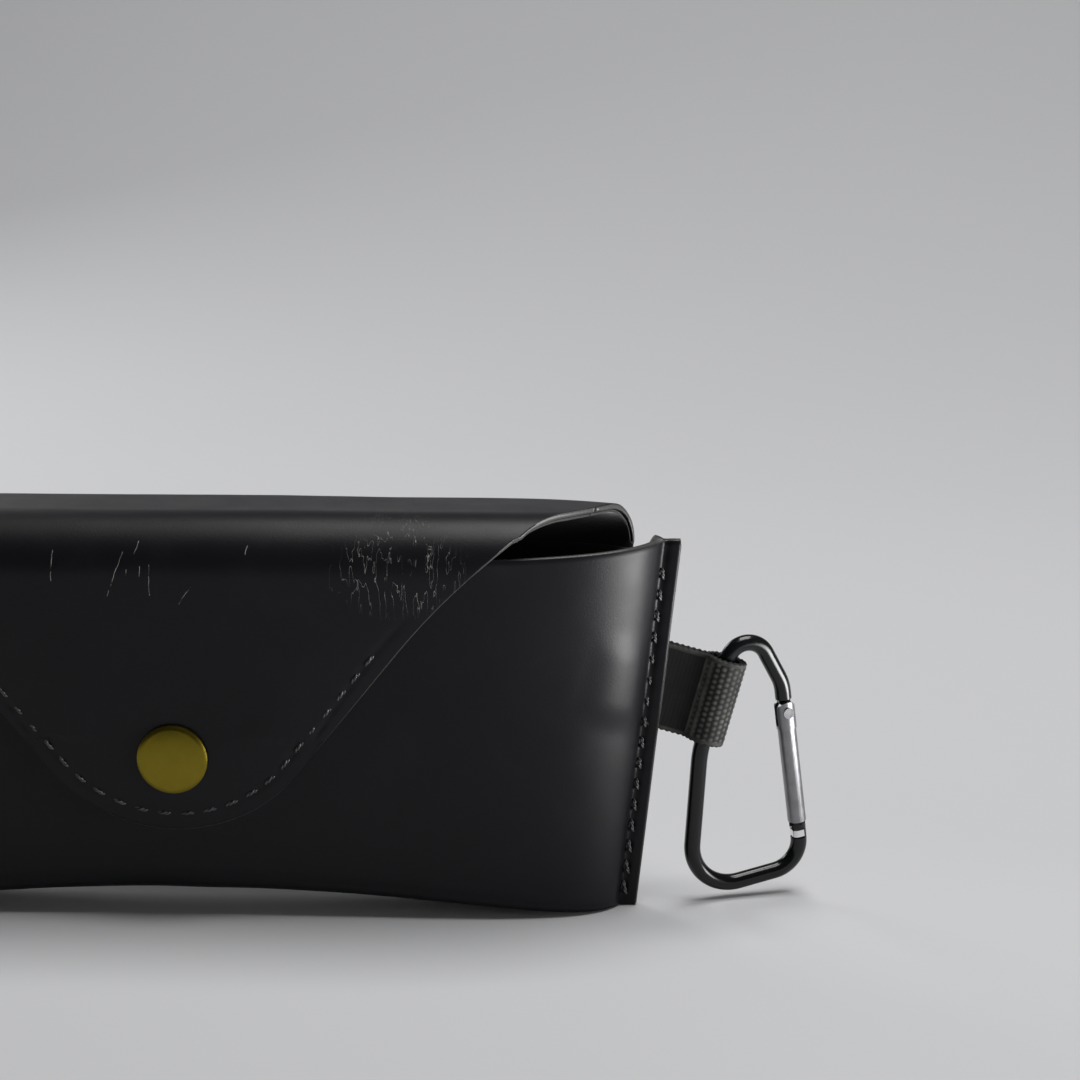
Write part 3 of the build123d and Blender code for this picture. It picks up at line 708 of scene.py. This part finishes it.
FLAP_RUNS = (1, 16, 16)
FLAP_TURNS = (16, 24)
TIP_ROWS = 44
FLAP_COLUMNS = 64
FLAP_TURN_Z = EDGE_END[1]  # below this height the flap's rows close in on its tip
HINGE_ROWS = 2  # rows at the back rim that keep their full width in every layer
FLAP_WAVES = ((0.20, 30, 4), (0.05, 9, 5))
WAVES_START = 12  # rows over which the unevenness starts at the back rim
BACK_BEND = 7  # how far above the back fold line the leather still turns
FRONT_BEND = 5.5  # how far on each side of the front fold line it turns

# The free edge lies nearer the front panel than the flap's middle, which the snap holds off
SETTLED = 1.15
SETTLED_REACH = 13  # in from the edge
SETTLED_TOP = 62
SETTLED_FADE = 22  # below that height

# The stitched line along the edge, pulled in, with a pucker at each stitch
EDGE_FURROW, EDGE_FURROW_REACH = 0.16, 0.7
EDGE_PUCKER, EDGE_PUCKER_REACH = 0.04, 1.2
EDGE_RELIEF_TOP = 58
EDGE_RELIEF_FADE = 4


def fold_point():
    """The front fold line in the pouch's own (y, z)."""
    centre_z = APEX - FRONT_ROUND
    ahead = front(0, centre_z) + FLAP_GAP + LINING + LEATHER
    return Vector((FRONT_ROUND * (1 - math.sin(FOLD)) - ahead, centre_z + FRONT_ROUND * math.cos(FOLD)))


FOLD_POINT = fold_point()
FOLD_ALONG = Vector((-math.cos(FOLD), -math.sin(FOLD)))


def through(points, value):
    """The curve through three (height, value) points."""
    total = 0.0
    for i, (x, y) in enumerate(points):
        share = 1.0
        for j, (other, _) in enumerate(points):
            if i != j:
                share *= (value - other) / (x - other)
        total += y * share
    return total


def half_width(point):
    """The flap's half width at a place on its own line."""
    if (point - FOLD_POINT).dot(FOLD_ALONG) < 0:
        widths = [(FOLD_POINT.x, FOLD_HALF), BRIDGE_MID[::-1], BRIDGE_END[::-1]]
        return through(widths, point.x)
    run, rise = FOLD_HALF - EDGE_END[0], FOLD_POINT.y - EDGE_END[1]
    side = Vector((math.sin(TIP_TURN), -math.cos(TIP_TURN)))
    radius = (run * run + rise * rise) / (2 * (run * side.x + rise * side.y))
    centre = Vector(EDGE_END) + side * radius
    return centre.x - math.sqrt(radius**2 - (point.y - centre.y) ** 2)


def flap_row(s, inset):
    """The flap's line at a station, down to where its straight edges start."""
    points, radii = flap_line(s, inset)
    low, end = Vector(points[3]), Vector(points[2])
    share = (end.y - FLAP_TURN_Z) / (end.y - low.y)
    points[3] = tuple(end.lerp(low, share))
    return rounded(points, radii, FLAP_RUNS, FLAP_TURNS)


def edge_stations():
    """For each row of the flap, the station where its edge lies."""
    tries = np.linspace(0.3, FLAP_END, 134)
    lines = [flap_row(s, 0) for s in tries]
    edges = []
    for row in range(len(lines[0])):
        over = [place(s, line[row])[0] - POUCH_X - half_width(line[row]) for s, line in zip(tries, lines)]
        crossing = next((k for k in range(1, len(over)) if over[k] >= 0), None)
        if crossing is None:
            edges.append(FLAP_END)
        else:
            share = -over[crossing - 1] / (over[crossing] - over[crossing - 1])
            edges.append(tries[crossing - 1] + (tries[crossing] - tries[crossing - 1]) * share)
    return edges


def columns():
    """Places across a row from -1 to 1, closer together near the edges."""
    crowding = 0.35
    t = np.linspace(-1, 1, 2 * FLAP_COLUMNS + 1)
    return (1 + crowding) * t - crowding * t**3


EDGE_STATIONS = edge_stations()
COLUMNS = columns()


def on_front(x, z, inset):
    """A place on the flap's straight front, x from the middle and z up. Four rounds find its station."""
    s = x / STITCH_HALF
    for _ in range(4):
        s = (x - z * math.sin(SIDE_LEAN * s)) / STITCH_HALF
    high = z / math.cos(SIDE_LEAN * s)
    ahead = front(s, high) + FLAP_GAP + LINING + LEATHER - inset
    return (POUCH_X + x, SEAM_Y - ahead, z)


def flap_grid(inset, edge_in=0.0):
    """The whole flap from the back rim to its tip. edge_in leaves its edge short by so much."""
    grid = []
    for row, edge in enumerate(EDGE_STATIONS):
        reach = edge if row < HINGE_ROWS else edge - edge_in / STITCH_HALF
        grid.append([place(reach * u, flap_row(reach * u, inset)[row]) for u in COLUMNS])
    top = [(p[0] - POUCH_X, p[2]) for p in grid[-1]]
    for k in range(1, TIP_ROWS + 1):
        share = k / TIP_ROWS
        row = []
        for (x, z), u in zip(top, COLUMNS):
            turn = TIP_TURN * u
            tip_x = (TIP_RADIUS - edge_in) * math.sin(turn)
            tip_z = TIP_CENTRE - (TIP_RADIUS - edge_in) * math.cos(turn)
            row.append(on_front(x + (tip_x - x) * share, z + (tip_z - z) * share, inset))
        grid.append(row)
    return np.array(grid)


def edge_distance(grid):
    """Distance from the flap's edge at each place of its grid, on its front."""
    left, right = grid[:, :1], grid[:, -1:]
    sideways = np.minimum(np.linalg.norm(grid - left, axis=2), np.linalg.norm(grid - right, axis=2))
    x, z = np.abs(grid[..., 0] - POUCH_X), grid[..., 2]
    to_tip = TIP_RADIUS - np.hypot(x, z - TIP_CENTRE)
    low = z < TIP_CENTRE - TIP_RADIUS * math.cos(TIP_TURN) + 6
    straight = sideways * math.sin(TIP_TURN)
    return np.where(low, np.minimum(np.maximum(to_tip, 0), straight + 3), straight)


def settled_by(from_edge, height):
    """How far back the leather lies, at a distance from the flap's edge and a height."""
    near_edge = np.clip(1 - from_edge / SETTLED_REACH, 0, 1) ** 1.5
    down = np.clip((SETTLED_TOP - height) / SETTLED_FADE, 0, 1)
    return SETTLED * near_edge * down


def settle(grid):
    settled = grid.copy()
    settled[..., 1] += settled_by(edge_distance(grid), grid[..., 2]) * (grid[..., 1] < SEAM_Y)
    return settled


def stitch_relief(grid):
    """The stitched line along the flap's edge, pulled in with a small pucker at each stitch."""
    off = edge_distance(grid) - EDGE_INSET
    run = np.hypot(np.gradient(grid[:, -1, 0]), np.gradient(grid[:, -1, 2])).cumsum()[:, None]
    phase = np.cos(run * 2 * math.pi / EDGE_PITCH)
    ahead = np.clip((EDGE_RELIEF_TOP - grid[..., 2]) / EDGE_RELIEF_FADE, 0, 1) * (grid[..., 1] < SEAM_Y)
    furrow = -EDGE_FURROW * ridge(off, EDGE_FURROW_REACH)
    return ahead * (furrow - EDGE_PUCKER * phase * ridge(off, EDGE_PUCKER_REACH))


MIDDLE_ROW = FLAP_RUNS[0] + FLAP_TURNS[0] + FLAP_RUNS[1] // 2  # where a layer is cut in two


def fold_ends():
    """Places between which the leather turns at the back and at the front fold line."""
    back_y = SEAM_Y + back(0, HINGE_Z)
    back_fold = ((0, back_y * MM, CUT_Z * MM), (0, back_y * MM, (HINGE_Z + BACK_BEND) * MM))
    fold = Vector((0, SEAM_Y + FOLD_POINT.x, FOLD_POINT.y))
    along = Vector((0, FOLD_ALONG.x, FOLD_ALONG.y)) * FRONT_BEND
    front_fold = (tuple((fold - along) * MM), tuple((fold + along) * MM))
    return back_fold, front_fold


BACK_FOLD, FRONT_FOLD = fold_ends()


def make_flap_layer(name, outside, inside, material, nodes, edge_in=0.0):
    """One layer of the flap as two sheets that meet over the middle of the mouth."""
    outer, inner = flap_grid(outside, edge_in), flap_grid(inside, edge_in)
    if outside == 0:
        start = np.clip(np.arange(outer.shape[0]) / WAVES_START, 0, 1)[:, None]
        outer = lifted(outer, inner, stitch_relief(outer) + waves(outer, FLAP_WAVES) * start)
    outer, inner = settle(outer), settle(inner)
    cuts = (("over", 0, MIDDLE_ROW + 1, "pouch", "bridge", BACK_FOLD, ("first_row", "last_row")),
            ("tip", MIDDLE_ROW, None, "bridge", "flap", FRONT_FOLD, ("first_row",)))
    made = []
    for ending, first, last, before, after, fold, joined in cuts:
        piece = slab(f"{name}_{ending}", outer[first:last], inner[first:last], material, flat_rims=joined)
        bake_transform(piece)
        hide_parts(nodes[len(made)])
        made.append(piece)
    return made


# ---- Stitches

PLY_SIDES = 6
PLY_RADIUS = THREAD * 0.62
PLY_END = 0.55  # how much thinner a ply's ends are
STITCH_STEPS = 11
STITCH_TWIST = 2.6 * math.pi
STITCH_ROUND = 0.6  # below 1 the stitch rises steeply and runs flat
HOLE_DEPTH = 0.42  # how deep a stitch starts and ends
SUNK = 0.12  # how far a stitch's middle lies in the leather
EDGE_LIFT = 0.55

# The side seams' stitches, and what slack ones at the bottom have on top
SLACK_TOP = 24
SLACK_FADE = 20
SEAM_SLANT, SLACK_SLANT = 0.16, 0.16
SEAM_STITCH, SLACK_STITCH = STITCH - 0.5, 0.9
SEAM_LIFT, SLACK_LIFT = 0.75, 0.35


def ply(points):
    """A thin tube along points, closed at both ends."""
    sides = PLY_SIDES
    vertices, faces = [], []
    for i, point in enumerate(points):
        ahead = points[min(i + 1, len(points) - 1)] - points[max(i - 1, 0)]
        across = ahead.cross(Vector((0.31, 0.87, 0.11))).normalized()
        other = ahead.cross(across).normalized()
        taper = PLY_END if i in (0, len(points) - 1) else 1.0
        for k in range(sides):
            angle = 2 * math.pi * k / sides
            around = across * math.cos(angle) + other * math.sin(angle)
            vertices.append(point + around * PLY_RADIUS * taper)
    for i in range(len(points) - 1):
        for k in range(sides):
            a, b = i * sides + k, i * sides + (k + 1) % sides
            faces.append([a, b, b + sides, a + sides])
    faces.append(list(range(sides))[::-1])
    faces.append([(len(points) - 1) * sides + k for k in range(sides)])
    return vertices, faces


def stitch(middle, along, out, length, lift):
    """One stitch of two twisted plies that rises out of its hole, crosses and goes back in."""
    plies = []
    aside = along.cross(out).normalized()
    for half in (0, math.pi):
        points = []
        for k in range(STITCH_STEPS):
            t = k / (STITCH_STEPS - 1)
            rise = lift * math.sin(math.pi * t) ** STITCH_ROUND - HOLE_DEPTH
            twist = half + STITCH_TWIST * t
            centre = middle + along * (t - 0.5) * length + out * rise
            points.append(centre + (aside * math.cos(twist) + out * math.sin(twist)) * THREAD * 0.5)
        plies.append(ply(points))
    return gather(plies)


def gather(parts):
    """Several meshes as one."""
    vertices, faces = [], []
    for part_vertices, part_faces in parts:
        faces += [[index + len(vertices) for index in face] for face in part_faces]
        vertices += part_vertices
    return vertices, faces


def make_seam_thread(name, side, node):
    """One side seam's stitches, front and back, slack and slanted towards the bottom."""
    count = int((SEAM_TOP - 2 * SEAM_FIRST) / SEAM_PITCH) + 1
    lean = Vector((side * math.sin(SIDE_LEAN), 0, math.cos(SIDE_LEAN)))
    parts = []
    for face in (-1, 1):
        out = Vector((0, face, 0))
        for i in range(count):
            z = SEAM_FIRST + i * SEAM_PITCH
            slack = ease((SLACK_TOP - z) / SLACK_FADE)
            x = STITCH_HALF + SEAM_OUT + z * math.tan(SIDE_LEAN)
            middle = Vector((POUCH_X + side * x, SEAM_Y + face * (LEATHER - SUNK), z))
            slant = (SEAM_SLANT + SLACK_SLANT * slack) * side * face
            along = (lean + Vector((slant, 0, 0))).normalized()
            length = SEAM_STITCH + SLACK_STITCH * slack
            parts.append(stitch(middle, along, out, length, SEAM_LIFT + SLACK_LIFT * slack))
    thread = new_object(name, *gather(parts), THREAD_BLACK)
    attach(thread, "pouch")
    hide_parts(node)


def make_flap_thread():
    """Stitches along the flap's tip and straight edges, at the CAD stitches' places."""
    arc_radius = TIP_RADIUS - EDGE_INSET
    arc = arc_radius * TIP_TURN
    arc_end = Vector((arc_radius * math.sin(TIP_TURN), TIP_CENTRE - arc_radius * math.cos(TIP_TURN)))
    slope = Vector((math.cos(TIP_TURN), math.sin(TIP_TURN)))
    line_end = Vector(EDGE_END) + Vector((-slope.y, slope.x)) * EDGE_INSET
    total = arc + (line_end - arc_end).length
    parts = []
    for i in range(int(total / EDGE_PITCH)):
        far = (i + 0.5) * EDGE_PITCH
        if far < arc:
            angle = far / arc_radius
            spot = Vector((arc_radius * math.sin(angle), TIP_CENTRE - arc_radius * math.cos(angle)))
            heading = Vector((math.cos(angle), math.sin(angle)))
        else:
            spot, heading = arc_end + slope * (far - arc), slope
        for side in (-1, 1):
            lies_back = settled_by(EDGE_INSET, spot.y) + SUNK
            middle = Vector(on_front(side * spot.x, spot.y, 0)) + Vector((0, lies_back, 0))
            along = Vector((side * heading.x, 0, heading.y))
            parts.append(stitch(middle, along, Vector((0, -1, 0)), STITCH, EDGE_LIFT))
    thread = new_object("flap_stitches", *gather(parts), THREAD_BLACK)
    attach(thread, "flap")
    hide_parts("flap_thread")


# ---- Webbing tab

STRIP_STEP = 0.2
STRIP_START = -3.4  # from the seam's edge, so just inside the seam
CREASE_AT = 5.4  # where the two layers are pressed together beside the rod
LOOP_OPENS = math.radians(40)  # where the two layers leave the loop round the rod
LOOP_STEPS = 46
SOFTENING = 12  # passes that round the line's corners

# The weave: raised crossings round the rod, two piped lines beside the crease, and faint ribs
RIB_PITCH = 1.05
WEAVE_FADE = 0.8
CROSSING_POWER = 1.4
PIPING = ((0.3, 0.35), (1.3, 0.3))  # each line's distance from the crease and its width
FAINT_RIB = 0.0625
FAINT_RIB_PITCH = 0.7
SELVAGE = 0.7
SELVAGE_HEIGHT = 0.45
SELVAGE_NICKS = 0.10
OUTMOST = 0.05  # only the outermost places are nicked
WEAVE_DEPTH = 0.16  # how far crossings stand up from the ground
WEAVE_GROUND = 0.14  # how far the ground lies below the webbing's face
INNER_ROOM = 0.02


def strip_path():
    """The webbing's middle line seen from above: out through the seam, round the rod and back."""
    half = WEBBING_THICK / 2
    loop = LOOP_OUT - half
    path = [Vector((STRIP_START, -half)), Vector((CREASE_AT, -half))]
    arc_from, arc_to = math.pi + LOOP_OPENS, 3 * math.pi - LOOP_OPENS
    for k in range(LOOP_STEPS + 1):
        angle = arc_from + (arc_to - arc_from) * k / LOOP_STEPS
        path.append(Vector((LOOP_AT + loop * math.cos(angle), loop * math.sin(angle))))
    return path + [Vector((CREASE_AT, half)), Vector((STRIP_START, half))]


def even_points(path, step):
    """The path in equal steps, its corners softened."""
    lengths = [0.0]
    for a, b in zip(path, path[1:]):
        lengths.append(lengths[-1] + (b - a).length)
    count = int(lengths[-1] / step)
    ends = np.linspace(0, lengths[-1], count + 1)
    xs = np.interp(ends, lengths, [p.x for p in path])
    ys = np.interp(ends, lengths, [p.y for p in path])
    for _ in range(SOFTENING):
        xs[1:-1] = (xs[:-2] + 2 * xs[1:-1] + xs[2:]) / 4
        ys[1:-1] = (ys[:-2] + 2 * ys[1:-1] + ys[2:]) / 4
    return np.stack([xs, ys], 1)


def weave(outward, run, across):
    """Height of the weave: pressed almost flat near the seam, with raised crossings in staggered rows
    on the part that goes round the rod."""
    open_weave = np.clip((outward - CREASE_AT) / WEAVE_FADE, 0, 1)
    row = run / RIB_PITCH
    shift = 0.5 * (np.floor(row) % 2)
    crossing = np.abs(np.sin(math.pi * row)) * np.abs(np.sin(math.pi * (across / RIB_PITCH + shift)))
    piping = sum(ridge(outward - CREASE_AT - beyond, width) for beyond, width in PIPING)
    ribs = FAINT_RIB * np.abs(np.sin(math.pi * run / FAINT_RIB_PITCH)) * (1 - open_weave)
    return np.maximum(crossing**CROSSING_POWER * open_weave, np.maximum(piping, ribs))


def make_tab():
    line = even_points(strip_path(), STRIP_STEP)
    ahead = np.gradient(line, axis=0)
    ahead /= np.linalg.norm(ahead, axis=1, keepdims=True)
    away = np.stack([ahead[:, 1], -ahead[:, 0]], 1)
    across = np.arange(0, WEBBING + 0.01, STRIP_STEP * 1.25)  # with both edges
    run = np.arange(len(line)) * STRIP_STEP
    rise = weave(line[:, :1], run[:, None], across[None, :])
    selvage = np.minimum(across, WEBBING - across)
    rise = np.where(selvage[None, :] < SELVAGE, SELVAGE_HEIGHT, rise)
    nicked = selvage[None, :] < OUTMOST
    edge_nicks = SELVAGE_NICKS * np.sin(run * 2 * math.pi / RIB_PITCH)[:, None] * nicked

    def grid(offset):
        """The strip's places, each offset from its middle line by so much."""
        spots = line[:, None, :] + away[:, None, :] * offset[..., None]
        up = WEBBING_LOW + across[None, :] + edge_nicks * np.sign(across - WEBBING / 2)[None, :]
        up = np.broadcast_to(up, spots.shape[:2])
        base = np.array(TAB_ROOT)
        return (base + spots[..., :1] * np.array(OUTWARDS) + np.array([0, 1, 0]) * spots[..., 1:]
                + up[..., None] * np.array(UPWARDS))

    half = np.full(rise.shape, WEBBING_THICK / 2)
    outer, inner = grid(half - WEAVE_GROUND + WEAVE_DEPTH * rise), grid(-half + INNER_ROOM)
    tab = slab("tab_webbing", outer, inner, WEBBING_BLACK, weave_height=rise)
    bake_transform(tab)
    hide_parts("tab_loop", "tab_anchor")
    return tab


# ---- Metal parts: the CAD solids keep their shape and take a finish


def finish_metal():
    gold = antique_brass()
    snap_steel = plated_steel("snap_steel", (0.50, 0.47, 0.38), (0.62, 0.59, 0.50))
    aluminium = plated_steel("bare_aluminium", (0.22, 0.22, 0.23), (0.29, 0.29, 0.30), (0.28, 0.40))
    latch_steel = plated_steel("latch_steel", (0.78, 0.78, 0.79), (0.90, 0.90, 0.91), (0.16, 0.26))
    anodised = black_anodising()
    finishes = (
        (gold, ("snap_cap", "snap_post")),
        (snap_steel, ("snap_socket", "snap_spring", "snap_stud")),
        (anodised, ("carabiner_body",)),
        (aluminium, ("gate_tube", "gate_rivet")),
        (latch_steel, ("gate_latch", "gate_plunger", "gate_spring")),
    )
    for material, nodes in finishes:
        for node in nodes:
            for material_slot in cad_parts[node].material_slots:
                material_slot.material = material


# ---- Stage

CAMERA_PLACE = Vector((0.0707, -0.4554, 0.1546))
CAMERA_PITCH = math.radians(10.74)
CAMERA_YAW = math.radians(-2.23)
FOCAL_SHARE = 2.407  # focal length as a share of the picture's width
SENSOR = 36.0

# The floor and the backdrop that it curves up into, in millimetres
FLOOR_AHEAD = 2500
FLOOR_BEHIND = 420
FLOOR_HALF_WIDTH = 3200
BACKDROP_CURVE = 1100
BACKDROP_HIGH = 2600
CURVE_STEPS = 32
FLOOR_GREY = (0.60, 0.605, 0.62)
FLOOR_DRIFT = 0.015  # how far its shade drifts each way


def make_camera():
    data = bpy.data.cameras.new("camera")
    data.sensor_width = SENSOR
    data.lens = SENSOR * FOCAL_SHARE
    data.clip_start = 0.01
    data.clip_end = 20
    camera = bpy.data.objects.new("camera", data)
    bpy.context.scene.collection.objects.link(camera)
    camera.location = CAMERA_PLACE
    camera.rotation_euler = (math.pi / 2 - CAMERA_PITCH, 0, -CAMERA_YAW)
    bpy.context.scene.camera = camera


def plain_material(name, color, roughness):
    nodes = Nodes(name)
    shade = nodes.noise(nodes.place(), scale=0.004, detail=2)
    darker, lighter = [tuple(c * tone for c in color) for tone in (1 - FLOOR_DRIFT, 1 + FLOOR_DRIFT)]
    tint = nodes.mix(shade, darker, lighter)
    return nodes.finish(tint, roughness, Specular_IOR_Level=0.25)


def make_stage():
    """A floor that curves up into a plain backdrop."""
    profile = [(-FLOOR_AHEAD, 0.0), (FLOOR_BEHIND, 0.0)]
    for k in range(1, CURVE_STEPS + 1):
        angle = math.pi / 2 * k / CURVE_STEPS
        back_by, up = BACKDROP_CURVE * math.sin(angle), BACKDROP_CURVE * (1 - math.cos(angle))
        profile.append((FLOOR_BEHIND + back_by, up))
    profile.append((FLOOR_BEHIND + BACKDROP_CURVE, BACKDROP_HIGH))
    vertices = [(side * FLOOR_HALF_WIDTH, y, z) for y, z in profile for side in (-1, 1)]
    faces = [[2 * i, 2 * i + 1, 2 * i + 3, 2 * i + 2] for i in range(len(profile) - 1)]
    floor = new_object("floor", vertices, faces, plain_material("floor", FLOOR_GREY, 0.6))


def area_light(name, place_at, aim, size, power, color=(1, 1, 1), spread=180):
    """A light the camera doesn't see, in metres, watts and degrees."""
    data = bpy.data.lights.new(name, "AREA")
    data.shape = "RECTANGLE"
    data.size, data.size_y = size
    data.energy = power
    data.color = color
    data.spread = math.radians(spread)
    light = bpy.data.objects.new(name, data)
    bpy.context.scene.collection.objects.link(light)
    light.location = place_at
    light.rotation_euler = (Vector(aim) - Vector(place_at)).to_track_quat("-Z", "Y").to_euler()
    light.visible_camera = False


def make_lights():
    area_light(
        "top_soft", (0.24, 0.06, 1.35), aim=(0.07, 0.03, 0.0), size=(1.0, 0.7), power=18,
        color=(1.0, 0.995, 0.985)
    )
    area_light(
        "right_card", (0.20, -0.06, 0.035), aim=(0.07, -0.02, 0.07), size=(0.13, 0.10), power=0.12, spread=60
    )
    area_light("left_rim", (-0.40, 0.60, 0.36), aim=(-0.05, 0.0, 0.07), size=(0.24, 0.24), power=0.9)
    world = bpy.data.worlds.new("world")
    world.use_nodes = True
    background = world.node_tree.nodes["Background"]
    background.inputs["Color"].default_value = (0.86, 0.88, 0.92, 1)
    background.inputs["Strength"].default_value = 0.05
    bpy.context.scene.world = world
    bpy.context.scene.view_settings.view_transform = "Standard"


# ---- Build

make_camera()
pouch = make_pouch()
pouch_lining = make_pouch_lining()
flap_over, flap_tip = make_flap_layer(
    "flap", 0, LEATHER, LEATHER_FLAP, ("flap_bridge", "flap_front")
)
lining_over, lining_tip = make_flap_layer(
    "flap_lining", LEATHER + SLIT, LEATHER + LINING, LINING_CLOTH,
    ("flap_bridge_lining", "flap_front_lining"), edge_in=0.5
)
make_seam_thread("seam_stitches_left", -1, "seam_thread_left")
make_seam_thread("seam_stitches_right", 1, "seam_thread_right")
make_flap_thread()
tab = make_tab()
finish_metal()
make_stage()
make_lights()
